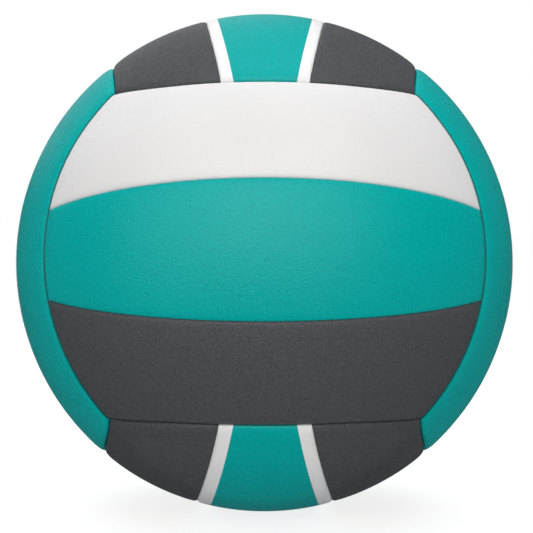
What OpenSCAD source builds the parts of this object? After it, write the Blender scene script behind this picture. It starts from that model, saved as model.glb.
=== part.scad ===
// Indoor volleyball with eighteen padded cover panels on six faces.
// Origin at the centre of the ball, +Z up, and the front face looks along -Y.
// Each face has an outer panel, a middle panel and another outer panel.
// Every seam lies in a plane, and the panel walls beside it meet the cover squarely.

/* [Ball] */
// Diameter over the cover
ball_d = 210; // [190:1:230]

/* [Panel layout] */
// How far the middle of a face's long side bows out past its corners
side_bow = 2.2; // [0.8:0.1:6]
// Width of a middle panel, straight across its middle
middle_w = 50; // [40:0.5:60]
// Width of a middle panel at its two ends
middle_end_w = 34; // [26:0.5:38]
// Free gap between neighbouring panels at a seam
seam_gap = 0.3; // [0.1:0.05:0.6]

/* [Cover skin] */
// Thickness of the synthetic leather
skin_t = 1.2; // [0.8:0.1:1.6]
// Radius of the rolled edge of a panel
roll_r = 3; // [2.5:0.1:4]
// Depth of the groove where two rolled edges meet
groove_depth = 1.2; // [0.6:0.1:1.6]

/* [Inner layers] */
// Glue line between two layers
glue_gap = 0.15; // [0.1:0.05:0.3]
// Thickness of the foam pad behind each panel
foam_t = 3; // [2:0.25:4]
// Thickness of the fabric lining under the pads
lining_t = 0.8; // [0.5:0.1:1.5]
// Thickness of the bladder wall
bladder_t = 0.9; // [0.6:0.1:1.6]

/* [Seam thread] */
// Diameter of the stitching thread
thread_d = 0.5; // [0.3:0.05:0.6]
// Clearance between the thread and the rolled edges it lies on
thread_clear = 0.1; // [0.05:0.05:0.2]
// Distance from a thread's end to the seam that it runs up to
thread_end_gap = 0.7; // [0.6:0.1:2]

/* [Valve] */
// Diameter of an inflating needle's hole
needle_d = 1.9; // [1.6:0.1:2.2]
// Depth of the needle's hole below the funnel in the plug
needle_depth = 14; // [10:0.5:18]
// Diameter of the funnel that guides the needle in
funnel_d = 3; // [2.4:0.1:3.6]
// Depth of the funnel
funnel_depth = 0.5; // [0.3:0.1:0.8]
// Thickness of the slit end that closes the needle's hole
slit_end_t = 1.5; // [1:0.25:3]
// Diameter of the plug's stem
stem_d = 4.6; // [4:0.1:5.2]
// Diameter of the plug's head
head_d = 6; // [5.6:0.1:6.6]
// Thickness of the plug's head
head_t = 1.2; // [0.8:0.1:1.6]
// Diameter of the bead that keeps the plug from pulling out
bead_d = 6; // [5.4:0.1:7]
// Height of that bead
bead_t = 2; // [1.5:0.25:3]
// Diameter of the housing's neck
neck_d = 8.6; // [8:0.1:10]
// Length of the housing inside the bladder
housing_in = 9; // [7:0.5:10]
// Diameter of the housing's flange on the bladder
flange_d = 26; // [20:1:34]
// Thickness of that flange
flange_t = 1.2; // [0.8:0.1:2]
// How far the neck's rim lies under the surface of the cover
neck_recess = 0.7; // [0.4:0.1:1.2]
// Clearance between the plug and its housing
plug_clear = 0.05; // [0.03:0.01:0.1]
// Clearance around the neck where it passes through the layers
neck_clear = 0.15; // [0.1:0.05:0.3]

/* [Hidden] */
$fn = 144;

teal = "#12a195";
charcoal = "#4b4c50";
white = "#edebea";
foam_cream = "#e9e2cf";
fabric_grey = "#c9c8c4";
thread_dark = "#2f3034";
rubber_black = "#232326";

// Turns that carry the front face and its panels to the other five places
front_turn = [0, 0, 0];
back_turn = [0, 0, 180];
top_turn = [-90, 0, 90];
bottom_turn = [90, 0, -90];
left_turn = [0, -90, -90];
right_turn = [0, -90, 90];
face_turns = [front_turn, back_turn, top_turn, bottom_turn, left_turn, right_turn];

// Radii of the layers, from the cover inwards
ball_r = ball_d / 2;
skin_in_r = ball_r - skin_t;
foam_out_r = skin_in_r - glue_gap;
foam_in_r = foam_out_r - foam_t;
lining_out_r = foam_in_r - glue_gap;
lining_in_r = lining_out_r - lining_t;
bladder_out_r = lining_in_r - glue_gap;
bladder_in_r = bladder_out_r - bladder_t;
flange_out_r = bladder_in_r - glue_gap;
flange_in_r = flange_out_r - flange_t;
seam_half_gap = seam_gap / 2;
foam_inset = seam_half_gap + skin_t + glue_gap;

// Seam planes on a ball of radius 1: height above the face's middle = slope * depth + rise.
// A face's four corners are those of a cube inside the ball.
corner_share = 1 / sqrt(3);
side_mid = corner_share + side_bow / ball_r;
side_slope = (side_mid - corner_share) / (sqrt(1 - pow(side_mid, 2)) - corner_share);
side_rise = corner_share * (1 - side_slope);
side_norm = sqrt(1 + pow(side_slope, 2));
strip_mid = middle_w / ball_d;
strip_end = middle_end_w / ball_d;
strip_mid_depth = sqrt(1 - pow(strip_mid, 2));
strip_end_left = pow(side_slope, 2) * (1 - pow(strip_end, 2)) - pow(side_rise, 2);
strip_end_depth = (side_rise + sqrt(pow(side_rise, 2) + pow(side_norm, 2) * strip_end_left)) / pow(side_norm, 2);
strip_slope = (strip_mid - strip_end) / (strip_mid_depth - strip_end_depth);
strip_rise = strip_mid - strip_slope * strip_mid_depth;
strip_norm = sqrt(1 + pow(strip_slope, 2));

// Tilt of each seam's axis and the angle from that axis to the seam
side_tilt = atan(side_slope);
side_angle = acos(side_rise / side_norm);
strip_tilt = atan(strip_slope);
strip_angle = acos(strip_rise / strip_norm);

// Half the turn that each seam covers about its axis
side_sweep = asin(corner_share / sin(side_angle));
end_a = pow(side_norm, 2) + pow(strip_slope * side_slope, 2);
end_k = strip_slope * side_rise + strip_rise;
end_b = side_slope * side_rise + strip_slope * side_slope * end_k;
end_c = pow(side_rise, 2) + pow(end_k, 2) - 1;
strip_reach = (sqrt(pow(end_b, 2) - end_a * end_c) - end_b) / end_a;
strip_sweep = asin(strip_reach / sin(strip_angle));

// Rolled edge: its circle pokes this much past the surface, so that they cross at an angle
roll_lift_share = 0.015;
roll_centre_r = ball_r - roll_r * (1 - roll_lift_share);
roll_offset = sqrt(pow(roll_r, 2) - pow(roll_r - groove_depth, 2));
roll_reach = 3 * roll_r;

// Thread lying in the groove on the two rolled edges
thread_r = thread_d / 2;
thread_rest = roll_r + thread_r + thread_clear;
thread_seat_r = roll_centre_r + sqrt(pow(thread_rest, 2) - pow(roll_offset + seam_half_gap, 2));

// Overrun of the cutting shapes past what they cut, and the size of their stock
cut_over = 6;
stock_size = 4 * ball_r;

// Seams at least this many degrees from their axis get flat walls
flat_from = 80;

// Valve, measured along its axis from the ball's centre
plug_top = ball_r - neck_recess;
head_seat = plug_top - head_t;
housing_end = bladder_in_r - housing_in;
bore_top = plug_top - funnel_depth;
bore_end = bore_top - needle_depth;
plug_end = min(bore_end - slit_end_t, housing_end - bead_t - plug_clear);
bead_top = housing_end - plug_clear;
neck_r = neck_d / 2;
neck_hole_r = neck_r + neck_clear;

function polar(r, angle) = [r * sin(angle), r * cos(angle)];

// Half outline of what a seam encloses about its axis, with its wall moved out by a shift.
// The wall is part of a ball that meets the cover squarely, or a plane for a seam near the middle.
module seam_outline(angle, shift) {
    if (angle < flat_from) {
        intersection() {
            translate([0, ball_r / cos(angle)]) circle(r = ball_r * tan(angle) + shift);
            square(stock_size);
        }
    } else {
        translate([0, ball_r * cos(angle) - shift]) square(stock_size);
    }
}

// The corner that a rolled edge leaves free, outside the roll's circle.
// The sense is -1 for a panel within the seam and 1 for one outside it.
module roll_corner(angle, inset, sense) {
    centre_angle = angle + sense * (asin(inset / ball_r) + asin(roll_offset / roll_centre_r));
    centre = polar(roll_centre_r, centre_angle);
    outward = roll_reach * polar(1, centre_angle);
    sideways = -sense * roll_reach * [cos(centre_angle), -sin(centre_angle)];
    difference() {
        polygon([centre, centre + outward, centre + outward + sideways, centre + sideways]);
        translate(centre) circle(r = roll_r);
    }
}

// What stays within a seam, drawn in from it by an inset
module seam_keep(angle, inset, rolled) {
    rotate_extrude() difference() {
        seam_outline(angle, -inset);
        if (rolled) {
            roll_corner(angle, inset, -1);
        }
    }
}

// What is cut away within a seam from a panel outside it, with the same inset
module seam_cut(angle, inset, rolled) {
    rotate_extrude() {
        seam_outline(angle, inset);
        if (rolled) {
            roll_corner(angle, inset, 1);
        }
    }
}

module layer(outer_r, inner_r) {
    difference() {
        sphere(r = outer_r);
        sphere(r = inner_r);
    }
}

// A layer of the front face, between the face's two ends
module face_layer(outer_r, inner_r, inset, rolled) {
    intersection() {
        layer(outer_r, inner_r);
        rotate([90, 0, side_tilt]) seam_keep(side_angle, inset, rolled);
        opposite() rotate([90, 0, side_tilt]) seam_keep(side_angle, inset, rolled);
    }
}

// Middle piece of the front face, between its two inner seams
module middle_piece(outer_r, inner_r, inset, rolled) {
    difference() {
        face_layer(outer_r, inner_r, inset, rolled);
        rotate([-strip_tilt, 0, 0]) seam_cut(strip_angle, inset, rolled);
        opposite() rotate([-strip_tilt, 0, 0]) seam_cut(strip_angle, inset, rolled);
    }
}

// Upper piece of the front face, between an inner seam and the face's long side
module outer_piece(outer_r, inner_r, inset, rolled) {
    difference() {
        intersection() {
            face_layer(outer_r, inner_r, inset, rolled);
            rotate([-strip_tilt, 0, 0]) seam_keep(strip_angle, inset, rolled);
        }
        rotate([-side_tilt, 0, 0]) seam_cut(side_angle, inset, rolled);
    }
}

// A skin covers its pad and turns down at the seams to the lining
module middle_skin() {
    difference() {
        middle_piece(ball_r, foam_in_r, seam_half_gap, true);
        middle_piece(skin_in_r, foam_in_r - cut_over, seam_half_gap + skin_t, false);
    }
}

module outer_skin() {
    difference() {
        outer_piece(ball_r, foam_in_r, seam_half_gap, true);
        outer_piece(skin_in_r, foam_in_r - cut_over, seam_half_gap + skin_t, false);
    }
}

module middle_foam() {
    middle_piece(foam_out_r, foam_in_r, foam_inset, false);
}

module outer_foam() {
    outer_piece(foam_out_r, foam_in_r, foam_inset, false);
}

// The same piece on the other side of the face's middle panel
module opposite() {
    rotate([0, 180, 0]) children();
}

module valve_axis() {
    rotate([-90, 0, 0]) children();
}

module neck_hole() {
    valve_axis() cylinder(r = neck_hole_r, h = ball_r + cut_over);
}

// One length of thread along a seam of the front face
module groove_thread(tilt, angle, sweep) {
    ring_r = thread_seat_r * sin(angle);
    thread_sweep = sweep - asin(thread_end_gap / ring_r);
    rotate([-tilt, 0, 0])
        translate([0, 0, thread_seat_r * cos(angle)])
            rotate([0, 0, 270 - thread_sweep])
                rotate_extrude(angle = 2 * thread_sweep)
                    translate([ring_r, 0]) circle(r = thread_r);
}

module front_upper_panel() {
    color(white) rotate(front_turn) outer_skin();
}

module front_middle_panel() {
    color(teal) rotate(front_turn) middle_skin();
}

module front_lower_panel() {
    color(charcoal) rotate(front_turn) opposite() outer_skin();
}

module back_upper_panel() {
    color(white) rotate(back_turn) outer_skin();
}

module back_middle_panel() {
    color(teal) difference() {
        rotate(back_turn) middle_skin();
        neck_hole();
    }
}

module back_lower_panel() {
    color(charcoal) rotate(back_turn) opposite() outer_skin();
}

module top_left_panel() {
    color(charcoal) rotate(top_turn) outer_skin();
}

module top_middle_panel() {
    color(teal) rotate(top_turn) middle_skin();
}

module top_right_panel() {
    color(charcoal) rotate(top_turn) opposite() outer_skin();
}

module bottom_left_panel() {
    color(charcoal) rotate(bottom_turn) outer_skin();
}

module bottom_middle_panel() {
    color(teal) rotate(bottom_turn) middle_skin();
}

module bottom_right_panel() {
    color(charcoal) rotate(bottom_turn) opposite() outer_skin();
}

module left_front_panel() {
    color(teal) rotate(left_turn) opposite() outer_skin();
}

module left_middle_panel() {
    color(charcoal) rotate(left_turn) middle_skin();
}

module left_rear_panel() {
    color(teal) rotate(left_turn) outer_skin();
}

module right_front_panel() {
    color(teal) rotate(right_turn) outer_skin();
}

module right_middle_panel() {
    color(charcoal) rotate(right_turn) middle_skin();
}

module right_rear_panel() {
    color(teal) rotate(right_turn) opposite() outer_skin();
}

module front_upper_foam() {
    color(foam_cream) rotate(front_turn) outer_foam();
}

module front_middle_foam() {
    color(foam_cream) rotate(front_turn) middle_foam();
}

module front_lower_foam() {
    color(foam_cream) rotate(front_turn) opposite() outer_foam();
}

module back_upper_foam() {
    color(foam_cream) rotate(back_turn) outer_foam();
}

module back_middle_foam() {
    color(foam_cream) difference() {
        rotate(back_turn) middle_foam();
        neck_hole();
    }
}

module back_lower_foam() {
    color(foam_cream) rotate(back_turn) opposite() outer_foam();
}

module top_left_foam() {
    color(foam_cream) rotate(top_turn) outer_foam();
}

module top_middle_foam() {
    color(foam_cream) rotate(top_turn) middle_foam();
}

module top_right_foam() {
    color(foam_cream) rotate(top_turn) opposite() outer_foam();
}

module bottom_left_foam() {
    color(foam_cream) rotate(bottom_turn) outer_foam();
}

module bottom_middle_foam() {
    color(foam_cream) rotate(bottom_turn) middle_foam();
}

module bottom_right_foam() {
    color(foam_cream) rotate(bottom_turn) opposite() outer_foam();
}

module left_front_foam() {
    color(foam_cream) rotate(left_turn) opposite() outer_foam();
}

module left_middle_foam() {
    color(foam_cream) rotate(left_turn) middle_foam();
}

module left_rear_foam() {
    color(foam_cream) rotate(left_turn) outer_foam();
}

module right_front_foam() {
    color(foam_cream) rotate(right_turn) outer_foam();
}

module right_middle_foam() {
    color(foam_cream) rotate(right_turn) middle_foam();
}

module right_rear_foam() {
    color(foam_cream) rotate(right_turn) opposite() outer_foam();
}

// Threads of the two seams inside each face
module panel_seam_thread() {
    color(thread_dark) for (turn = face_turns, flip = [0, 180]) {
        rotate(turn) rotate([0, flip, 0]) groove_thread(strip_tilt, strip_angle, strip_sweep);
    }
}

// Threads of the twelve seams where two faces meet
module face_seam_thread() {
    color(thread_dark) for (turn = face_turns, flip = [0, 180]) {
        rotate(turn) rotate([0, flip, 0]) groove_thread(side_tilt, side_angle, side_sweep);
    }
}

module lining() {
    color(fabric_grey) difference() {
        layer(lining_out_r, lining_in_r);
        neck_hole();
    }
}

module bladder() {
    color(rubber_black) difference() {
        layer(bladder_out_r, bladder_in_r);
        neck_hole();
    }
}

// Neck through the layers, with a flange that seals against the inside of the bladder
module valve_housing() {
    color(rubber_black) valve_axis() difference() {
        union() {
            translate([0, 0, housing_end]) cylinder(r = neck_r, h = plug_top - housing_end);
            intersection() {
                layer(flange_out_r, flange_in_r);
                cylinder(r = flange_d / 2, h = ball_r);
            }
        }
        cylinder(r = stem_d / 2 + plug_clear, h = ball_r);
        translate([0, 0, head_seat - plug_clear]) cylinder(r = head_d / 2 + plug_clear, h = cut_over);
    }
}

// Rubber plug with a needle's hole that a slit end closes
module valve_plug() {
    color(rubber_black) valve_axis() rotate_extrude() polygon([
        [0, plug_end],
        [stem_d / 2, plug_end],
        [bead_d / 2, bead_top],
        [stem_d / 2, bead_top],
        [stem_d / 2, head_seat],
        [head_d / 2, head_seat],
        [head_d / 2, plug_top],
        [funnel_d / 2, plug_top],
        [needle_d / 2, bore_top],
        [needle_d / 2, bore_end],
        [0, bore_end]
    ]);
}

front_upper_panel();
front_middle_panel();
front_lower_panel();
back_upper_panel();
back_middle_panel();
back_lower_panel();
top_left_panel();
top_middle_panel();
top_right_panel();
bottom_left_panel();
bottom_middle_panel();
bottom_right_panel();
left_front_panel();
left_middle_panel();
left_rear_panel();
right_front_panel();
right_middle_panel();
right_rear_panel();
front_upper_foam();
front_middle_foam();
front_lower_foam();
back_upper_foam();
back_middle_foam();
back_lower_foam();
top_left_foam();
top_middle_foam();
top_right_foam();
bottom_left_foam();
bottom_middle_foam();
bottom_right_foam();
left_front_foam();
left_middle_foam();
left_rear_foam();
right_front_foam();
right_middle_foam();
right_rear_foam();
panel_seam_thread();
face_seam_thread();
lining();
bladder();
valve_housing();
valve_plug();
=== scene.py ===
import math

import bpy
import numpy as np
from mathutils import Euler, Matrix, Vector


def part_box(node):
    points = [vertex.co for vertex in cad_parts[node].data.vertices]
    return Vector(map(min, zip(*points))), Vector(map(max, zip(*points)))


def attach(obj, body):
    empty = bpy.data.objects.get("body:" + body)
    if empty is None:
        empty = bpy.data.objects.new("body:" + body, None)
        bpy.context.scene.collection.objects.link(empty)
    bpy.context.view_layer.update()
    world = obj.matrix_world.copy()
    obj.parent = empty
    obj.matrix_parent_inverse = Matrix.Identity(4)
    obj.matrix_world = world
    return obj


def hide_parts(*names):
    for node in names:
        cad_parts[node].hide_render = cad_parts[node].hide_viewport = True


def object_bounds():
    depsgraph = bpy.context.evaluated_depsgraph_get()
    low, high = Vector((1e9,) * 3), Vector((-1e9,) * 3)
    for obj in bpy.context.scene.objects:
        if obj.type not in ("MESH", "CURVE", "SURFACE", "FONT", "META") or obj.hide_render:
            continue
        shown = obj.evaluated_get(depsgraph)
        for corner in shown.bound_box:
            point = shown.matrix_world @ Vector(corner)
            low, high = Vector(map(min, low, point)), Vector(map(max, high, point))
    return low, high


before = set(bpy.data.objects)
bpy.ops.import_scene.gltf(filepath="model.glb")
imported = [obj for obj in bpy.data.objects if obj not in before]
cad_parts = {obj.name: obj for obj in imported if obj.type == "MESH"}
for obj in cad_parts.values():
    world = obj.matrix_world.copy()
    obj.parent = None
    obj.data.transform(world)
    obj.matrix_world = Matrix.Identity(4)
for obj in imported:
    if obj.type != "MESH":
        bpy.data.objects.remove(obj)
cadLow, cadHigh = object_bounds()
print("frame loaded:", len(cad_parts), "nodes")

glueLine = 0.00015  # metres between two layers that are glued together

# Layout of the cover, in metres
cover = {
    "radius": -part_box("front_middle_panel")[0].y,
    "sideBow": 0.0022,  # how far the middle of a face's long side bows out past its corners
    "middleWidth": 0.050,
    "middleEndWidth": 0.034,
    "seamGap": {"long": 0.00015, "end": 0.00015, "strip": 0.00005},  # a face's own panels press closer
    "skin": 0.0012,
    "skinFoot": -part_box("lining")[0].y + glueLine,  # radius at which a turned-down edge ends
    "stitchPitch": 0.005,
    "cornerPower": 4,  # a higher one gives a sharper mitre where two edges meet
    "endNarrowing": 3,  # the painted groove shade at a face's end is so many times narrower
}

# How a panel's surface falls away at its edges, as pairs of a depth and a length in metres: a crease, a
# roll and a slow fall. Stitches pucker the edge by a depth of their own. The kinds of edge are a face's
# long side, its end and the seams between its own panels.
edgeRolls = {
    "long": {"falls": ((0.0004, 0.0002), (0.0012, 0.0011), (0.0003, 0.004)), "pucker": 0.00003},
    "end": {"falls": ((0.0004, 0.0002), (0.0012, 0.0011), (0.0002, 0.004)), "pucker": 0.00003},
    "strip": {"falls": ((0.00015, 0.0002), (0.00055, 0.0006), (0.00015, 0.003)), "pucker": 0.00002},
}

# Turns in degrees about X, Y and Z that carry the front face to each place, and its panels from +Z to -Z
faces = {
    "front": {
        "turn": (0, 0, 0),
        "panels": {"upper": "white", "middle": "teal", "lower": "charcoal"},
    },
    "back": {
        "turn": (0, 0, 180),
        "panels": {"upper": "white", "middle": "teal", "lower": "charcoal"},
    },
    "top": {
        "turn": (-90, 0, 90),
        "panels": {"left": "charcoal", "middle": "tealBordered", "right": "charcoal"},
    },
    "bottom": {
        "turn": (90, 0, -90),
        "panels": {"left": "charcoal", "middle": "tealBordered", "right": "charcoal"},
        "borderShare": 1.1,  # its borders are printed a little wider
    },
    "left": {
        "turn": (0, -90, -90),
        "panels": {"rear": "teal", "middle": "charcoalBordered", "front": "teal"},
        "lineShare": 1.6,  # the painted groove shade along its long sides is wider
    },
    "right": {
        "turn": (0, -90, 90),
        "panels": {"front": "teal", "middle": "charcoalBordered", "rear": "teal"},
        "lineShare": 1.6,
    },
}

faceCorner = 1 / math.sqrt(3)  # each coordinate of a face's corner, a cube's, on a ball of radius 1


# Seams on a ball of radius 1 in the front face's own frame: x along the panels, y towards the viewer, z up.
# A seam is where a plane, height = slope * depth + rise, cuts the ball.
def seamPlanes():
    sideMiddle = faceCorner + cover["sideBow"] / cover["radius"]
    sideSlope = (sideMiddle - faceCorner) / (math.sqrt(1 - sideMiddle**2) - faceCorner)
    sideRise = faceCorner * (1 - sideSlope)
    middle = cover["middleWidth"] / cover["radius"] / 2
    end = cover["middleEndWidth"] / cover["radius"] / 2
    # depth of the strip seam's end: where height end meets the side seam y = sideSlope * x + sideRise
    norm = 1 + sideSlope**2
    root = math.sqrt(sideRise**2 + norm * (sideSlope**2 * (1 - end**2) - sideRise**2))
    endDepth = (sideRise + root) / norm
    stripSlope = (middle - end) / (math.sqrt(1 - middle**2) - endDepth)
    return (sideSlope, sideRise), (stripSlope, middle - stripSlope * math.sqrt(1 - middle**2))


sideSeam, stripSeam = seamPlanes()


def mirrored(seam):
    return -seam[0], -seam[1]


# The same seam moved along the ball: its circle's angle from its axis grows by a length over the radius
def movedSeam(seam, length):
    norm = math.hypot(1, seam[0])
    return seam[0], norm * math.cos(math.acos(seam[1] / norm) + length / cover["radius"])


# Distance along the ball to a seam, and the place along it measured from its middle. The first is the
# radius times the angle past the seam's angle from its axis, the second is the seam circle's radius times
# the turn about that axis.
def seamPlace(height, depth, along, seam):
    norm = math.hypot(1, seam[0])
    seamAngle = math.acos(seam[1] / norm)
    angle = np.arccos(np.clip((height - seam[0] * depth) / norm, -1, 1))
    turn = np.arctan2(along, (depth + seam[0] * height) / norm)
    return (angle - seamAngle) * cover["radius"], turn * cover["radius"] * math.sin(seamAngle)


# Places from 0 to 1 along a line of some length: cells start small at both ends and grow by a ratio, over a
# third of the line at most, and then stay alike
def gradedSteps(length, first, growth, longest):
    cells = []
    while sum(cells) < length / 3 and first * growth ** len(cells) < longest:
        cells.append(first * growth ** len(cells))
    rest = length - 2 * sum(cells)
    count = math.ceil(rest / longest)
    cells = np.array(cells + [rest / count] * count + cells[::-1])
    return np.r_[0, np.cumsum(cells)] / cells.sum()


# Directions from the ball's centre on a panel's grid. Across the panel the plane turns evenly from the
# lower seam to the upper one, z = m*y + n, and along it x = sin(t * asin(xEnd)) for t from -1 to 1, where
# xEnd lies on the end seam y = e*x + f. Then y and z solve x*x + y*y + z*z = 1.
def panelDirections(lower, upper, endSeam, along, across):
    t, s = np.meshgrid(2 * along - 1, across, indexing="ij")
    m = lower[0] + (upper[0] - lower[0]) * s
    n = lower[1] + (upper[1] - lower[1]) * s
    e, f = endSeam
    a = 1 + e * e * (1 + m * m)
    b = e * f * (1 + m * m) + e * m * n
    c = f * f * (1 + m * m) + 2 * m * n * f + n * n - 1
    xEnd = (np.sqrt(b * b - a * c) - b) / a
    x = np.sin(t * np.arcsin(xEnd))
    y = (np.sqrt(m * m * n * n - (1 + m * m) * (n * n + x * x - 1)) - m * n) / (1 + m * m)
    return np.stack([x, y, m * y + n], axis=-1)


# The kinds of a panel's lower, upper and end edges
edgeKinds = {
    "upper": ("strip", "long", "end"),
    "middle": ("strip", "strip", "end"),
    "lower": ("long", "strip", "end"),
}


# The lower, upper and end seams of a row's panel, drawn in by half the seam's gap and an inset
def panelSeams(row, inset):
    lower, upper = {
        "upper": (stripSeam, sideSeam),
        "middle": (mirrored(stripSeam), stripSeam),
        "lower": (mirrored(sideSeam), mirrored(stripSeam)),
    }[row]
    lowerGap, upperGap, endGap = (cover["seamGap"][kind] / 2 for kind in edgeKinds[row])
    return (
        movedSeam(lower, -inset - lowerGap),
        movedSeam(upper, inset + upperGap),
        movedSeam(sideSeam, -inset - endGap),
    )


# A panel's edges as a kind, a seam and the side on which the panel lies
def panelEdges(row):
    return list(zip(edgeKinds[row], panelSeams(row, 0), (-1, 1, -1)))


# How far the cover lies under the ball's full radius. Each edge gives a sum of depth*exp(-d/length) at a
# distance d, with a pucker at each stitch, and the edges' drops p and q join as (p^k + q^k)^(1/k), so that
# they meet in a mitre.
def edgeDrop(directions, edges):
    x, y, z = np.moveaxis(directions, -1, 0)
    total = 0
    for kind, seam, sense in edges:
        if kind == "end":
            distance, place = seamPlace(y, np.abs(x), z, seam)
        else:
            distance, place = seamPlace(z, y, x, seam)
        d = np.maximum(sense * distance, 0)
        roll = edgeRolls[kind]
        drop = sum(depth * np.exp(-d / length) for depth, length in roll["falls"])
        pucker = roll["pucker"] * np.cos(2 * math.pi * place / cover["stitchPitch"])
        drop += pucker * np.exp(-d / roll["falls"][1][1])
        total = total + np.maximum(drop, 0) ** cover["cornerPower"]
    return total ** (1 / cover["cornerPower"])


# Four-cornered faces of a grid, less the cells of a block that is left open
def gridFaces(rows, columns, start, block=None):
    i, j = np.meshgrid(np.arange(rows - 1), np.arange(columns - 1), indexing="ij")
    if block is not None:
        i0, i1, j0, j1 = block
        keep = ~((i >= i0) & (i < i1) & (j >= j0) & (j < j1))
        i, j = i[keep], j[keep]
    corner = start + i.ravel() * columns + j.ravel()
    return np.stack([corner, corner + columns, corner + columns + 1, corner + 1], axis=1)


# Indices round a block of a grid, clockwise seen from outside the ball
def blockLoop(i0, i1, j0, j1, columns):
    i = np.r_[np.arange(i1, i0, -1), np.full(j1 - j0, i0), np.arange(i0, i1), np.full(j1 - j0, i1)]
    j = np.r_[np.full(i1 - i0, j0), np.arange(j0, j1), np.full(i1 - i0, j1), np.arange(j1, j0, -1)]
    return i * columns + j


# Faces between two closed loops of as many points
def bandFaces(loop, nextLoop):
    return np.stack([loop, np.roll(loop, -1), np.roll(nextLoop, -1), nextLoop], axis=1)


# A closed shell from an outer and an inner grid of points, joined round their rims by loops of wall points.
# A block of cells may be left open in both, with loops of its own between its two rims.
def shellMesh(outer, inner, wallLoops, block=None, holeLoops=()):
    rows, columns = outer.shape[:2]
    count = rows * columns
    points = [outer.reshape(-1, 3), inner.reshape(-1, 3), *wallLoops, *holeLoops]
    quads = [gridFaces(rows, columns, 0, block), gridFaces(rows, columns, count, block)[:, ::-1]]
    chains = [(blockLoop(0, rows - 1, 0, columns - 1, columns), wallLoops)]
    if block is not None:
        chains.append((blockLoop(*block, columns)[::-1], holeLoops))
    nextPoint = 2 * count
    for rim, loops in chains:
        chain = [rim]
        for loop in loops:
            chain.append(nextPoint + np.arange(len(loop)))
            nextPoint += len(loop)
        chain.append(count + rim)
        quads += [bandFaces(loop, nextLoop) for loop, nextLoop in zip(chain, chain[1:])]
    used, quads = np.unique(np.concatenate(quads), return_inverse=True)  # leaves out the block's own points
    return np.concatenate(points)[used], quads.reshape(-1, 4)


def meshPiece(name, points, quads, attributes=None, smooth=True, otherFaces=()):
    mesh = bpy.data.meshes.new(name)
    mesh.from_pydata(points.reshape(-1, 3), [], quads.tolist() + [list(face) for face in otherFaces])
    mesh.polygons.foreach_set("use_smooth", np.full(len(mesh.polygons), smooth))
    for key, values in (attributes or {}).items():
        attribute = mesh.attributes.new(key, "FLOAT", "POINT")
        attribute.data.foreach_set("value", values.astype(np.float32).ravel())
    mesh.update()
    piece = bpy.data.objects.new(name, mesh)
    bpy.context.scene.collection.objects.link(piece)
    return piece


# Every piece of the ball rides on its one body, stands for a node and takes a material
def standFor(piece, node, material):
    piece.data.materials.append(material)
    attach(piece, "root")
    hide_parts(node)


# Where the photographed ball's seams stray from the even layout: places on a ball of radius 1, x to the
# right, y to the viewer and z up, mirrored left and right. Pulls and reaches are in metres. The rear, which
# the photograph doesn't show, has none of its own.
unevenSewing = {
    "topCorner": {"at": (0.58, 0.58, 0.57), "pull": (-0.0031, 0, 0.0009), "reach": 0.022},
    "topSide": {"at": (0.60, 0.15, 0.78), "pull": (0.0008, 0, -0.0008), "reach": 0.020},
    "topStripEnd": {"at": (0.16, 0.77, 0.62), "pull": (-0.0009, 0, 0), "reach": 0.030},
    "bottomCorner": {"at": (0.58, 0.58, -0.57), "pull": (-0.0013, 0, -0.0028), "reach": 0.024},
    "bottomSide": {"at": (0.60, 0.15, -0.78), "pull": (0.0010, 0, 0.0014), "reach": 0.026},
    "bottomMiddle": {"at": (0.40, 0.10, -0.90), "pull": (0.0054, 0, 0), "reach": 0.055},
    "bottomStripEnd": {"at": (0.17, 0.77, -0.62), "pull": (-0.0006, 0, 0), "reach": 0.030},
}


# Each place pulls the points round it along by pull * exp(-(distance/reach)^2), and none changes its
# distance from the ball's centre
def unevenlySewn(points):
    length = np.linalg.norm(points, axis=1)[:, None]
    unit = points / length
    moved = unit.copy()
    for values in unevenSewing.values():
        for side in (1, -1):
            mirror = np.array([side, -1, 1])  # the viewer is on -Y
            away = np.linalg.norm(unit - values["at"] * mirror, axis=1) * cover["radius"]
            share = np.exp(-((away / values["reach"]) ** 2))[:, None]
            moved += share * values["pull"] * mirror / cover["radius"]
    return moved / np.linalg.norm(moved, axis=1)[:, None] * length


# The turn of a face, after the front face's own frame is set with its y towards the viewer
def faceMatrix(face):
    turn = Euler([math.radians(angle) for angle in faces[face]["turn"]], "XYZ").to_matrix()
    return np.array(turn) @ np.diag([1, -1, 1])


# The valve's hole through the back's middle panel and the wider one through its pad, in metres
valveHole = {
    "radius": 0.00445,
    "padRadius": 0.0047,
    "lip": 0.00035,
    "window": 0.022,  # how far from the hole's middle the grid lines are drawn together
    "easing": 0.9,  # share of the window over which square rings turn round
    "cell": 0.0008,
    "rampLines": 12,
}


# Grid lines drawn together round the middle, where a hole needs short sides: even cells in a small window
def linesWithWindow(steps, length):
    half = valveHole["radius"] / length
    inside = np.linspace(-half, half, 2 * math.ceil(valveHole["radius"] / valveHole["cell"]) + 1)
    reach = valveHole["window"] / length
    ramp = np.linspace(half, reach, valveHole["rampLines"])[1:]
    outer = steps[steps < 0.5 - reach]
    lines = np.r_[outer, 0.5 - ramp[::-1], 0.5 + inside, 0.5 + ramp, 1 - outer[::-1]]
    first = len(outer) + len(ramp)
    return lines, first, first + len(inside) - 1


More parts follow.
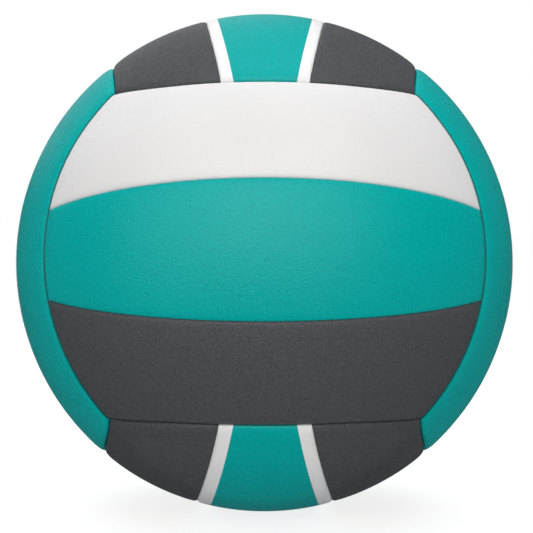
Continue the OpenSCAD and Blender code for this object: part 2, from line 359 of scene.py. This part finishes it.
# Square rings round the panel's middle become round ones. A ring's number is the larger of |x| and |z|,
# each over the block's half side, and a point moves to the distance number * hole radius at the hole, and
# by a smooth step less and less beyond it.
def roundedAboutMiddle(directions, block, radius):
    x, z = directions[..., 0] * cover["radius"], directions[..., 2] * cover["radius"]
    middle = directions.shape[1] // 2
    halfLength, halfWidth = x[block[1], middle], z[block[0], block[3]]
    ring = np.maximum(np.abs(x) / halfLength, np.abs(z) / halfWidth) * radius
    edge = valveHole["window"] * valveHole["easing"]
    share = np.clip((edge - ring) / (edge - radius), 0, 1)
    share = share**2 * (3 - 2 * share)
    factor = 1 + share * (ring / np.maximum(np.hypot(x, z), 1e-9) - 1)
    moved = directions.copy()
    moved[..., 0] *= factor
    moved[..., 2] *= factor
    moved[..., 1] = np.sqrt(1 - moved[..., 0] ** 2 - moved[..., 2] ** 2)
    return moved


# Grid lines along and across a panel, closer at the edges and, for the back's middle panel, round the valve
def panelLines(grid, hole):
    along = gradedSteps(grid["length"], grid["first"], grid["growth"], grid["longest"])
    across = gradedSteps(grid["width"], grid["first"], grid["growth"], grid["longest"])
    if not hole:
        return along, across, None
    along, i0, i1 = linesWithWindow(along, grid["length"])
    across, j0, j1 = linesWithWindow(across, cover["middleWidth"])
    return along, across, (i0, i1, j0, j1)


# Cells of a panel's grid, in metres, on lines of about the panel's length and width
panelGrid = {
    "first": 0.0001,
    "growth": 1.28,
    "longest": 0.0010,
    "length": 0.195,
    "width": 0.043,
    "wallSteps": 4,
}


# A panel's skin: the rolled outer surface, its edge turned down to the lining, and the inner surface one
# skin below. Two attributes hold each point's distance from the strip seams and from the groove round the
# face, the second made shorter or longer where the painted groove shade is wider or narrower.
def panelSkin(row, lineShare, hole):
    along, across, block = panelLines(panelGrid, hole)
    edges = panelEdges(row)
    outer = panelDirections(*panelSeams(row, 0), along, across)
    inner = panelDirections(*panelSeams(row, cover["skin"]), along, across)
    if hole:
        outer, inner = (roundedAboutMiddle(grid, block, valveHole["radius"]) for grid in (outer, inner))
    outerPoints = outer * (cover["radius"] - edgeDrop(outer, edges))[..., None]
    innerPoints = inner * (cover["radius"] - cover["skin"] - edgeDrop(inner, edges))[..., None]
    rows, columns = outer.shape[:2]
    rim = blockLoop(0, rows - 1, 0, columns - 1, columns)
    rimTop = outerPoints.reshape(-1, 3)[rim]
    foot = outer.reshape(-1, 3)[rim] * cover["skinFoot"]
    shares = np.linspace(0, 1, panelGrid["wallSteps"] + 1)[1:]
    walls = [rimTop + (foot - rimTop) * share for share in shares]
    walls.append(inner.reshape(-1, 3)[rim] * cover["skinFoot"])
    holeLoops = []
    if hole:
        ring = outerPoints.reshape(-1, 3)[blockLoop(*block, columns)[::-1]]
        holeLoops.append(ring * (1 - valveHole["lip"] / cover["radius"]))
    points, quads = shellMesh(outerPoints, innerPoints, walls, block, holeLoops)
    x, y, z = (points / np.linalg.norm(points, axis=1)[:, None]).T
    strip = np.minimum(*[np.abs(seamPlace(height, y, x, stripSeam)[0]) for height in (z, -z)])
    side = np.abs(seamPlace(np.abs(z), y, x, sideSeam)[0])
    end = np.abs(seamPlace(y, np.abs(x), z, sideSeam)[0])
    groove = np.minimum(side / lineShare, cover["endNarrowing"] * end)
    return points, quads, {"stripDistance": strip, "grooveDistance": groove}


# Foam pad behind a panel's skin
foamPad = {
    "inset": 0.0032,  # from the seam to the pad's edge: the skin, the thread and some play
    "edgeRound": 0.0018,
    "edgeHeight": 0.0006,
    "fill": 0.9,
    "grid": {"first": 0.0004, "growth": 1.4, "longest": 0.0025, "length": 0.188, "width": 0.038},
}


# A pad's top follows the skin's underside. Towards its edges it falls on a quarter circle of height:
# sqrt(1 - (1 - d/edgeRound)^2) at a distance d from the edge, down to a low wall.
def foamShell(row, hole):
    along, across, block = panelLines(foamPad["grid"], hole)
    seams = panelSeams(row, foamPad["inset"])
    directions = panelDirections(*seams, along, across)
    if hole:
        directions = roundedAboutMiddle(directions, block, valveHole["padRadius"])
    x, y, z = np.moveaxis(directions, -1, 0)
    toSides = np.minimum(-seamPlace(z, y, x, seams[0])[0], seamPlace(z, y, x, seams[1])[0])
    distance = np.minimum(toSides, -seamPlace(y, np.abs(x), z, seams[2])[0])
    share = np.clip(1 - np.maximum(distance, 0) / foamPad["edgeRound"], 0, 1)
    base = cover["skinFoot"]
    top = cover["radius"] - cover["skin"] - glueLine - edgeDrop(directions, panelEdges(row))
    low = base + foamPad["edgeHeight"]
    outer = directions * (low + (top - low) * np.sqrt(1 - share**2))[..., None]
    return shellMesh(outer, directions * base, [], block)


# Lock stitches that join the turned-down edges of two panels, out of sight below the groove
stitch = {
    "threadRadius": 0.00025,
    "underGroove": 0.0010,  # from the groove's floor down to the thread's middle
    "spread": 0.00125,  # from the seam to the hidden side of a turned-down edge
    "holeShare": 0.14,  # how much of a stitch is drawn in at a hole
    "endGap": 0.0020,  # from the last stitch to the seam's end
    "places": (0, 0.1, 0.24, 0.5, 0.76, 0.9),  # rings along one stitch
    "sides": 5,
}


# A tube along a path: rings of points at threadRadius round it, in the plane across its direction. The
# faces' order allows for the mirrored frame that the path is drawn in.
def threadTube(path):
    along = np.gradient(path, axis=0)
    along /= np.linalg.norm(along, axis=1)[:, None]
    across = np.cross(along, path)
    across /= np.linalg.norm(across, axis=1)[:, None]
    outward = np.cross(across, along)
    turn = 2 * math.pi * np.arange(stitch["sides"]) / stitch["sides"]
    offsets = np.cos(turn)[:, None] * outward[:, None] + np.sin(turn)[:, None] * across[:, None]
    points = path[:, None] + stitch["threadRadius"] * offsets
    rings, sides = points.shape[:2]
    index = np.arange(rings * sides).reshape(rings, sides)
    around = np.roll(index, -1, axis=1)
    quads = np.stack([index[:-1], index[1:], around[1:], around[:-1]], axis=-1).reshape(-1, 4)
    return points.reshape(-1, 3), quads, [index[0], index[-1][::-1]]


# Both threads of one seam in the front face's frame. A point at a turn along the seam and an offset w
# across it is radius * (cos(A)*axis + sin(A)*(cos(turn)*outward + sin(turn)*x)), where A is the seam's
# angle plus w/radius. The offset is threadRadius + spread * (1 - exp(-(h/holeShare)^2)), where h is the
# distance to the nearest hole, counted in stitches.
def seamThreads(seam, grooveDepth, endTurn):
    norm = math.hypot(1, seam[0])
    seamAngle = math.acos(seam[1] / norm)
    axis, outward = np.array([0, -seam[0], 1]) / norm, np.array([0, 1, seam[0]]) / norm
    radius = cover["radius"] - grooveDepth - stitch["underGroove"]
    endTurn -= stitch["endGap"] / radius / math.sin(seamAngle)
    count = round(2 * endTurn * radius * math.sin(seamAngle) / cover["stitchPitch"])
    place = np.r_[(np.arange(count)[:, None] + np.array(stitch["places"])).ravel(), count]
    turn = (place / count * 2 - 1) * endTurn
    toHole = np.abs(place - np.round(place))
    drawnIn = np.exp(-((toHole / stitch["holeShare"]) ** 2))
    offset = stitch["spread"] * (1 - drawnIn) + stitch["threadRadius"]
    inPlane = np.cos(turn)[:, None] * outward + np.sin(turn)[:, None] * np.array([1, 0, 0])
    tubes = []
    for side in (-1, 1):
        angle = (seamAngle + side * offset / radius)[:, None]
        tubes.append(threadTube(radius * (np.cos(angle) * axis + np.sin(angle) * inPlane)))
    return tubes


# The turn along a seam of a point on it: its angle in the seam's plane, away from the seam's middle
def turnAt(seam, x, y):
    return math.atan2(x, (y + seam[0] * (seam[0] * y + seam[1])) / math.hypot(1, seam[0]))


# The threads of the twelve seams of one kind, two to a face, as one piece
def buildStitches(name, node, seam, kind, endTurn):
    grooveDepth = sum(depth for depth, length in edgeRolls[kind]["falls"])
    points, quads, caps, start = [], [], [], 0
    for face in faces:
        matrix = faceMatrix(face)
        for oneSeam in (seam, mirrored(seam)):
            for tubePoints, tubeQuads, tubeCaps in seamThreads(oneSeam, grooveDepth, endTurn):
                points.append(tubePoints @ matrix.T)
                quads.append(tubeQuads + start)
                caps += [cap + start for cap in tubeCaps]
                start += len(tubePoints)
    piece = meshPiece(name, unevenlySewn(np.concatenate(points)), np.concatenate(quads), otherFaces=caps)
    standFor(piece, node, threadMaterial())


# Side seams end at a face's corners, and strip seams where half the middle panel's end width is reached
def buildAllStitches():
    height = cover["middleEndWidth"] / cover["radius"] / 2
    depth = (height - stripSeam[1]) / stripSeam[0]
    stripEnd = turnAt(stripSeam, math.sqrt(1 - height**2 - depth**2), depth)
    sideEnd = turnAt(sideSeam, faceCorner, faceCorner)
    buildStitches("panel_stitches", "panel_seam_thread", stripSeam, "strip", stripEnd)
    buildStitches("face_stitches", "face_seam_thread", sideSeam, "long", sideEnd)
    print("stitches built")


# Layers inside the pads, about the valve's axis, +Y
innerLayers = {
    "lining": {"thickness": 0.0008, "slot": "lining_fabric"},
    "bladder": {"thickness": 0.0009, "slot": "bladder_rubber"},
}
layerGrid = {"turns": 128, "steps": 72}


# A hollow ball with a round hole: a profile of two arcs, distance from the axis = r*sin(a) and height =
# r*cos(a), runs from the far pole outside to the hole and back inside, and is carried round the axis
def hollowBall(outerRadius, innerRadius, holeRadius):
    steps, turns = layerGrid["steps"], layerGrid["turns"]
    outerAngle = np.linspace(math.pi, math.asin(holeRadius / outerRadius), steps)[1:]
    innerAngle = np.linspace(math.asin(holeRadius / innerRadius), math.pi, steps)[:-1]
    away = np.r_[outerRadius * np.sin(outerAngle), innerRadius * np.sin(innerAngle)][:, None]
    height = np.r_[outerRadius * np.cos(outerAngle), innerRadius * np.cos(innerAngle)][:, None]
    turn = 2 * math.pi * np.arange(turns) / turns
    rings = np.stack([away * np.cos(turn), height + 0 * turn, away * np.sin(turn)], axis=-1)
    poles = np.array([[0, -outerRadius, 0], [0, -innerRadius, 0]])
    index = np.arange(rings.shape[0] * turns).reshape(-1, turns)
    around = np.roll(index, -1, axis=1)
    quads = np.stack([index[:-1], index[1:], around[1:], around[:-1]], axis=-1).reshape(-1, 4)
    outerFan = np.stack([np.full(turns, index.size), index[0], around[0]], axis=1)
    innerFan = np.stack([np.full(turns, index.size + 1), around[-1], index[-1]], axis=1)
    return np.concatenate([rings.reshape(-1, 3), poles]), quads, np.concatenate([outerFan, innerFan])


def buildInnerLayers():
    materials = {"lining": liningMaterial(), "bladder": rubberMaterial("butylRubber")}
    for name, layer in innerLayers.items():
        radius = -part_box(name)[0].y
        points, quads, fans = hollowBall(radius, radius - layer["thickness"], valveHole["radius"])
        piece = meshPiece(f"{name}_layer", points, quads, otherFaces=fans)
        standFor(piece, name, materials[name])
    print("lining and bladder built")


# Node helpers for the materials
def newMaterial(name):
    material = bpy.data.materials.new(name)
    material.use_nodes = True
    material.node_tree.nodes.clear()
    place = addNode(material.node_tree, "ShaderNodeTexCoord", {}).outputs["Object"]
    return material, material.node_tree, place


# A node whose inputs are linked where they are given as sockets and set where they are values
def addNode(tree, kind, inputs, **settings):
    node = tree.nodes.new(kind)
    for key, value in settings.items():
        setattr(node, key, value)
    for key, value in inputs.items():
        if isinstance(value, bpy.types.NodeSocket):
            tree.links.new(value, node.inputs[key])
        else:
            node.inputs[key].default_value = value
    return node


# A Mix node keeps its share in socket 0, numbers in 2 and 3 and colours in 6 and 7
def mixColours(tree, share, first, second, blend="MIX"):
    inputs = {0: share, 6: first, 7: second}
    return addNode(tree, "ShaderNodeMix", inputs, data_type="RGBA", blend_type=blend).outputs[2]


def mathNode(tree, operation, *values):
    return addNode(tree, "ShaderNodeMath", dict(enumerate(values)), operation=operation).outputs[0]


def remap(tree, value, low, high, toLow, toHigh):
    inputs = {"Value": value, "From Min": low, "From Max": high, "To Min": toLow, "To Max": toHigh}
    return addNode(tree, "ShaderNodeMapRange", inputs).outputs[0]


def addNoise(tree, place, scale, detail, roughness=0.5):
    inputs = {"Vector": place, "Scale": scale, "Detail": detail, "Roughness": roughness}
    return addNode(tree, "ShaderNodeTexNoise", inputs).outputs["Fac"]


noiseRange = (0.3, 0.7)  # nearly all of a noise's values lie between these


def spread(tree, noise, low, high):
    return remap(tree, noise, *noiseRange, low, high)


def addCells(tree, place, scale):
    return addNode(tree, "ShaderNodeTexVoronoi", {"Vector": place, "Scale": scale}).outputs["Distance"]


def addAttribute(tree, name):
    return addNode(tree, "ShaderNodeAttribute", {}, attribute_name=name).outputs["Fac"]


def addBump(tree, height, depth, strength):
    inputs = {"Height": height, "Distance": depth, "Strength": strength}
    return addNode(tree, "ShaderNodeBump", inputs).outputs["Normal"]


def finishMaterial(tree, surface):
    shader = addNode(tree, "ShaderNodeBsdfPrincipled", surface)
    addNode(tree, "ShaderNodeOutputMaterial", {"Surface": shader.outputs[0]})


# In each finish, groove is the share of its colour that the painted groove shade leaves right at a seam
leather = {
    "white": {"colour": (0.741, 0.726, 0.750, 1), "grain": 0.12, "groove": 0.95, "specular": 0.06},
    "teal": {"colour": (0.0004, 0.387, 0.380, 1), "grain": 1.0, "groove": 0.14, "specular": 0.047},
    "charcoal": {"colour": (0.0815, 0.0835, 0.0935, 1), "grain": 2.2, "groove": 0.3, "specular": 0.058},
    "whitePrint": {"colour": (0.84, 0.825, 0.845, 1), "grain": 0.12, "groove": 0.95},
    "borderWidth": 0.00475,  # from the seam inwards
    "borderBlur": 0.00005,
    "pebbleScale": 1500,
    "pebbleHeight": -0.6,  # a cell's middle stands up against the creases
    "creaseScale": 1150,
    "creaseRoughness": 0.6,
    "reliefMiddle": 0.29,
    # painted shade: how much darker the grain's valleys get for their depth in the relief
    "paintedValleyShade": 0.30,
    "cloudScale": 28,
    "cloudShade": 0.015,
    "grooveReach": (0.00025, 0.0007),  # painted groove shade is full up to the first distance from the seam and gone from the second
    "roughness": (0.23, 0.35),
    "bumpDepth": 0.00013,
}


# Grained synthetic leather: a pebble from Voronoi cells and finer noise gives the bump, painted shade
# makes the valleys a little darker, wide clouds shift the colour by a hundredth or two, and painted
# shade darkens the groove at a seam
def leatherMaterial(name, finish, border=None):
    material, tree, place = newMaterial(name)
    pebble = addCells(tree, place, leather["pebbleScale"])
    crease = addNoise(tree, place, leather["creaseScale"], detail=3, roughness=leather["creaseRoughness"])
    cloud = addNoise(tree, place, leather["cloudScale"], detail=3)
    height = mathNode(tree, "MULTIPLY_ADD", pebble, leather["pebbleHeight"], crease)
    base, grain, paintedGrooveShade = (leather[finish][key] for key in ("colour", "grain", "groove"))
    if border is not None:
        width, blur = leather["borderWidth"], leather["borderBlur"]
        printed = remap(tree, addAttribute(tree, "stripDistance"), width - blur, width + blur, 1, 0)
        base = mixColours(tree, printed, base, leather[border]["colour"])
        grain = remap(tree, printed, 0, 1, grain, leather[border]["grain"])
        paintedGrooveShade = remap(tree, printed, 0, 1, paintedGrooveShade, leather[border]["groove"])
    relief = mathNode(tree, "MULTIPLY", mathNode(tree, "SUBTRACT", height, leather["reliefMiddle"]), grain)
    # painted shade in the grain's valleys, the lower the darker
    valley = mathNode(tree, "MULTIPLY_ADD", relief, leather["paintedValleyShade"], 1)
    clouded = spread(tree, cloud, 1 - leather["cloudShade"], 1 + leather["cloudShade"])
    # Painted shade in the groove at a seam: near it the colour falls to the finish's groove share
    grooved = remap(tree, addAttribute(tree, "grooveDistance"), *leather["grooveReach"], paintedGrooveShade, 1)
    shade = mathNode(tree, "MULTIPLY", mathNode(tree, "MULTIPLY", valley, clouded), grooved)
    grey = addNode(tree, "ShaderNodeCombineColor", {0: shade, 1: shade, 2: shade}).outputs[0]
    surface = {
        "Base Color": mixColours(tree, 1.0, base, grey, "MULTIPLY"),
        "Roughness": spread(tree, crease, *leather["roughness"]),
        "Normal": addBump(tree, relief, leather["bumpDepth"], strength=1.0),
        "Specular IOR Level": leather[finish]["specular"],
    }
    finishMaterial(tree, surface)
    return material


foam = {
    "colours": ((0.74, 0.67, 0.53, 1), (0.83, 0.77, 0.63, 1)),
    "poreScale": 1400,
    "toneScale": 90,
    "bumpDepth": 0.0001,
    "roughness": 0.92,
    "specular": 0.2,
}


# Closed-cell foam: pores from Voronoi cells
def foamMaterial():
    material, tree, place = newMaterial("creamFoam")
    tone = spread(tree, addNoise(tree, place, foam["toneScale"], detail=3), 0, 1)
    pores = addCells(tree, place, foam["poreScale"])
    surface = {
        "Base Color": mixColours(tree, tone, *foam["colours"]),
        "Roughness": foam["roughness"],
        "Normal": addBump(tree, pores, foam["bumpDepth"], strength=0.6),
        "Specular IOR Level": foam["specular"],
    }
    finishMaterial(tree, surface)
    return material


thread = {
    "colours": ((0.022, 0.023, 0.027, 1), (0.045, 0.046, 0.052, 1)),
    "fuzzScale": 5000,
    "bumpDepth": 0.00004,
    "roughness": 0.7,
    "sheen": 0.2,
}


# Polyester thread: at this size, fine noise reads as its fuzz
def threadMaterial():
    material, tree, place = newMaterial("polyesterThread")
    fuzz = addNoise(tree, place, thread["fuzzScale"], detail=3)
    surface = {
        "Base Color": mixColours(tree, fuzz, *thread["colours"]),
        "Roughness": thread["roughness"],
        "Normal": addBump(tree, fuzz, thread["bumpDepth"], strength=0.6),
        "Sheen Weight": thread["sheen"],
    }
    finishMaterial(tree, surface)
    return material


liningCloth = {
    "colours": ((0.52, 0.51, 0.49, 1), (0.62, 0.61, 0.58, 1)),
    "weaveScale": 420,
    "toneScale": 120,
    "bumpDepth": 0.0001,
    "roughness": 0.88,
    "sheen": 0.3,
}


# Plain-woven cloth: two crossed sets of waves
def liningMaterial():
    material, tree, place = newMaterial("wovenLining")
    wave = {"Vector": place, "Scale": liningCloth["weaveScale"]}
    warp = addNode(tree, "ShaderNodeTexWave", wave, bands_direction="X").outputs["Fac"]
    weft = addNode(tree, "ShaderNodeTexWave", wave, bands_direction="Z").outputs["Fac"]
    weave = mathNode(tree, "MULTIPLY", warp, weft)
    tone = spread(tree, addNoise(tree, place, liningCloth["toneScale"], detail=4), 0, 1)
    surface = {
        "Base Color": mixColours(tree, tone, *liningCloth["colours"]),
        "Roughness": liningCloth["roughness"],
        "Normal": addBump(tree, weave, liningCloth["bumpDepth"], strength=0.7),
        "Sheen Weight": liningCloth["sheen"],
    }
    finishMaterial(tree, surface)
    return material


rubber = {
    "colours": ((0.016, 0.016, 0.018, 1), (0.028, 0.028, 0.031, 1)),
    "bloomScale": 220,
    "fineScale": 3500,
    "bumpDepth": 0.00003,
    "roughness": {
        "butylRubber": (0.36, 0.50),
        "valve_housing_rubber": (0.49, 0.63),
        "valve_plug_rubber": (0.44, 0.58),
    },
}


# Black rubber with a faint bloom that is a little lighter and rougher
def rubberMaterial(name):
    material, tree, place = newMaterial(name)
    bloom = addNoise(tree, place, rubber["bloomScale"], detail=5)
    fine = addNoise(tree, place, rubber["fineScale"], detail=2)
    surface = {
        "Base Color": mixColours(tree, bloom, *rubber["colours"]),
        "Roughness": spread(tree, bloom, *rubber["roughness"][name]),
        "Normal": addBump(tree, fine, rubber["bumpDepth"], strength=0.5),
    }
    finishMaterial(tree, surface)
    return material


coverMaterials = {
    "white": leatherMaterial("whiteLeather", "white"),
    "teal": leatherMaterial("tealLeather", "teal"),
    "charcoal": leatherMaterial("charcoalLeather", "charcoal"),
    "tealBordered": leatherMaterial("tealBorderedLeather", "teal", "whitePrint"),
    "charcoalBordered": leatherMaterial("charcoalBorderedLeather", "charcoal", "whitePrint"),
}
panelRows = ("upper", "middle", "lower")  # a face's panels from +Z to -Z, before it is turned


def buildPanels():
    for face, layout in faces.items():
        matrix = faceMatrix(face)
        for row, (panel, colour) in zip(panelRows, layout["panels"].items()):
            node = f"{face}_{panel}_panel"
            lineShare = layout.get("lineShare", 1)
            points, quads, attributes = panelSkin(row, lineShare, hole=(node == "back_middle_panel"))
            attributes["stripDistance"] /= layout.get("borderShare", 1)
            piece = meshPiece(f"{face}_{panel}_cover", unevenlySewn(points @ matrix.T), quads, attributes)
            standFor(piece, node, coverMaterials[colour])
    print("cover panels built")


def buildFoamPads():
    material = foamMaterial()
    for face, layout in faces.items():
        matrix = faceMatrix(face)
        for row, panel in zip(panelRows, layout["panels"]):
            name = f"{face}_{panel}"
            points, quads = foamShell(row, hole=(name == "back_middle"))
            piece = meshPiece(f"{name}_pad", unevenlySewn(points @ matrix.T), quads)
            standFor(piece, f"{name}_foam", material)
    print("foam pads built")


def dressValve():
    for node in ("valve_housing", "valve_plug"):
        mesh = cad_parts[node].data
        mesh.materials.clear()
        mesh.materials.append(rubberMaterial(f"{node}_rubber"))
    print("valve dressed")


buildPanels()
buildFoamPads()
buildAllStitches()
buildInnerLayers()
dressValve()

# Studio: a pale floor, a dim sky that is brighter overhead, soft lamps that light the surface alone, and
# soft lamps that only show as sheen. Angles are in degrees. The low lamps shine up through the floor, which
# throws no shadow.
studio = {
    "floorReach": 12,
    "floorColour": (0.30, 0.30, 0.30, 1),
    "floorRoughness": (0.85, 0.95),
    "floorSpecular": 0.1,
    "speckleScale": 40,
    "floorGlow": 0.30,  # the glow that lights the ball
    "floorShown": 0.80,  # the glow that the camera sees: it lightens the shadow under the ball
    "sky": {"level": 0.06, "overhead": 0.12, "backdrop": 1.0},
    "lamps": {
        "key": {"elevation": 25, "azimuth": 0, "softness": 44, "strength": 0.44, "colour": (1, 1, 0.91)},
        "low": {"elevation": -30, "azimuth": 0, "softness": 110, "strength": 0.24, "colour": (1, 1, 0.95)},
        "lowRight": {"elevation": -40, "azimuth": 115, "softness": 90, "strength": 0.15},
        "above": {
            "elevation": 88,
            "azimuth": 0,
            "softness": 70,
            "strength": 0.78,
            "colour": (0.97, 0.99, 1),
        },
        "rearFill": {"elevation": 27, "azimuth": 210, "softness": 70, "strength": 0.26},
    },
    "sheenLamps": {
        "sheenLeft": {"elevation": 19, "azimuth": -32, "softness": 60, "strength": 1.35},
        "sheenRight": {"elevation": 19, "azimuth": 14, "softness": 60, "strength": 1.5},
        "sheenAbove": {"elevation": 66, "azimuth": 0, "softness": 80, "strength": 0.40},
        "sheenRear": {"elevation": 38, "azimuth": 205, "softness": 50, "strength": 0.06},
    },
}


def buildFloor():
    reach, low = studio["floorReach"], cadLow.z
    corners = np.array([(x * reach, y * reach, low) for x, y in ((-1, -1), (1, -1), (1, 1), (-1, 1))])
    floor = meshPiece("floor", corners, np.array([[0, 1, 2, 3]]), smooth=False)
    material, tree, place = newMaterial("paleFloor")
    speckle = addNoise(tree, place, studio["speckleScale"], detail=4)
    cameraRay = addNode(tree, "ShaderNodeLightPath", {}).outputs["Is Camera Ray"]
    surface = {
        "Base Color": studio["floorColour"],
        "Roughness": spread(tree, speckle, *studio["floorRoughness"]),
        "Specular IOR Level": studio["floorSpecular"],
        "Emission Color": (1, 1, 1, 1),
        "Emission Strength": remap(tree, cameraRay, 0, 1, studio["floorGlow"], studio["floorShown"]),
    }
    finishMaterial(tree, surface)
    floor.data.materials.append(material)
    floor.visible_glossy = False  # the leather's low sheen shows the lamps alone
    floor.visible_shadow = False


def buildLamps():
    for name, values in (studio["lamps"] | studio["sheenLamps"]).items():
        light = bpy.data.lights.new(name, "SUN")
        light.angle = math.radians(values["softness"])
        light.energy = values["strength"] * math.pi
        light.color = values.get("colour", (1, 1, 1))
        lamp = bpy.data.objects.new(name, light)
        lamp.rotation_euler = (math.radians(90 - values["elevation"]), 0, math.radians(values["azimuth"]))
        lamp.visible_glossy = name in studio["sheenLamps"]
        lamp.visible_diffuse = name in studio["lamps"]
        bpy.context.scene.collection.objects.link(lamp)


def buildSky():
    world = bpy.data.worlds.new("studio")
    world.use_nodes = True
    tree = world.node_tree
    tree.nodes.clear()
    sky = studio["sky"]
    direction = addNode(tree, "ShaderNodeTexCoord", {}).outputs["Generated"]
    height = addNode(tree, "ShaderNodeSeparateXYZ", {0: direction}).outputs["Z"]
    dome = remap(tree, height, 0, 1, sky["level"], sky["level"] + sky["overhead"])
    cameraRay = addNode(tree, "ShaderNodeLightPath", {}).outputs["Is Camera Ray"]
    strength = addNode(tree, "ShaderNodeMix", {0: cameraRay, 2: dome, 3: sky["backdrop"]}).outputs[0]
    background = addNode(tree, "ShaderNodeBackground", {"Color": (1, 1, 1, 1), "Strength": strength})
    addNode(tree, "ShaderNodeOutputWorld", {"Surface": background.outputs[0]})
    bpy.context.scene.world = world
    bpy.context.scene.view_settings.view_transform = "Standard"


buildFloor()
buildLamps()
buildSky()
print("studio lit")

# The camera stands a little under the ball's middle and looks slightly up at it. Its distance is in ball
# radii, its angles are in degrees, the lens and sensor in millimetres, and the picture's places in pixels.
view = {
    "distance": 4.723,
    "elevation": -2.63,
    "azimuth": 0.19,
    "lens": 77.5,
    "sensor": 36,
    "pictureSide": 533,
    "ballAt": (264.5, 262.9),  # where the middle of the ball's outline lies in the picture
    "clip": (0.01, 50),
}


def placeCamera():
    elevation, azimuth = math.radians(view["elevation"]), math.radians(view["azimuth"])
    level = math.cos(elevation)
    back = Vector((-math.sin(azimuth) * level, -math.cos(azimuth) * level, math.sin(elevation)))
    data = bpy.data.cameras.new("camera")
    data.lens, data.sensor_width = view["lens"], view["sensor"]
    data.clip_start, data.clip_end = view["clip"]
    camera = bpy.data.objects.new("camera", data)
    distance = view["distance"] * cover["radius"]
    turn = (-back).to_track_quat("-Z", "Y")
    pixel = distance * view["sensor"] / view["lens"] / view["pictureSide"]
    right, above = turn @ Vector((1, 0, 0)), turn @ Vector((0, 1, 0))
    middle = view["pictureSide"] / 2
    aim = right * (middle - view["ballAt"][0]) * pixel + above * (view["ballAt"][1] - middle) * pixel
    camera.location = back * distance
    camera.rotation_euler = (aim - camera.location).to_track_quat("-Z", "Y").to_euler()
    bpy.context.scene.collection.objects.link(camera)
    bpy.context.scene.camera = camera
    print("camera placed")


placeCamera()
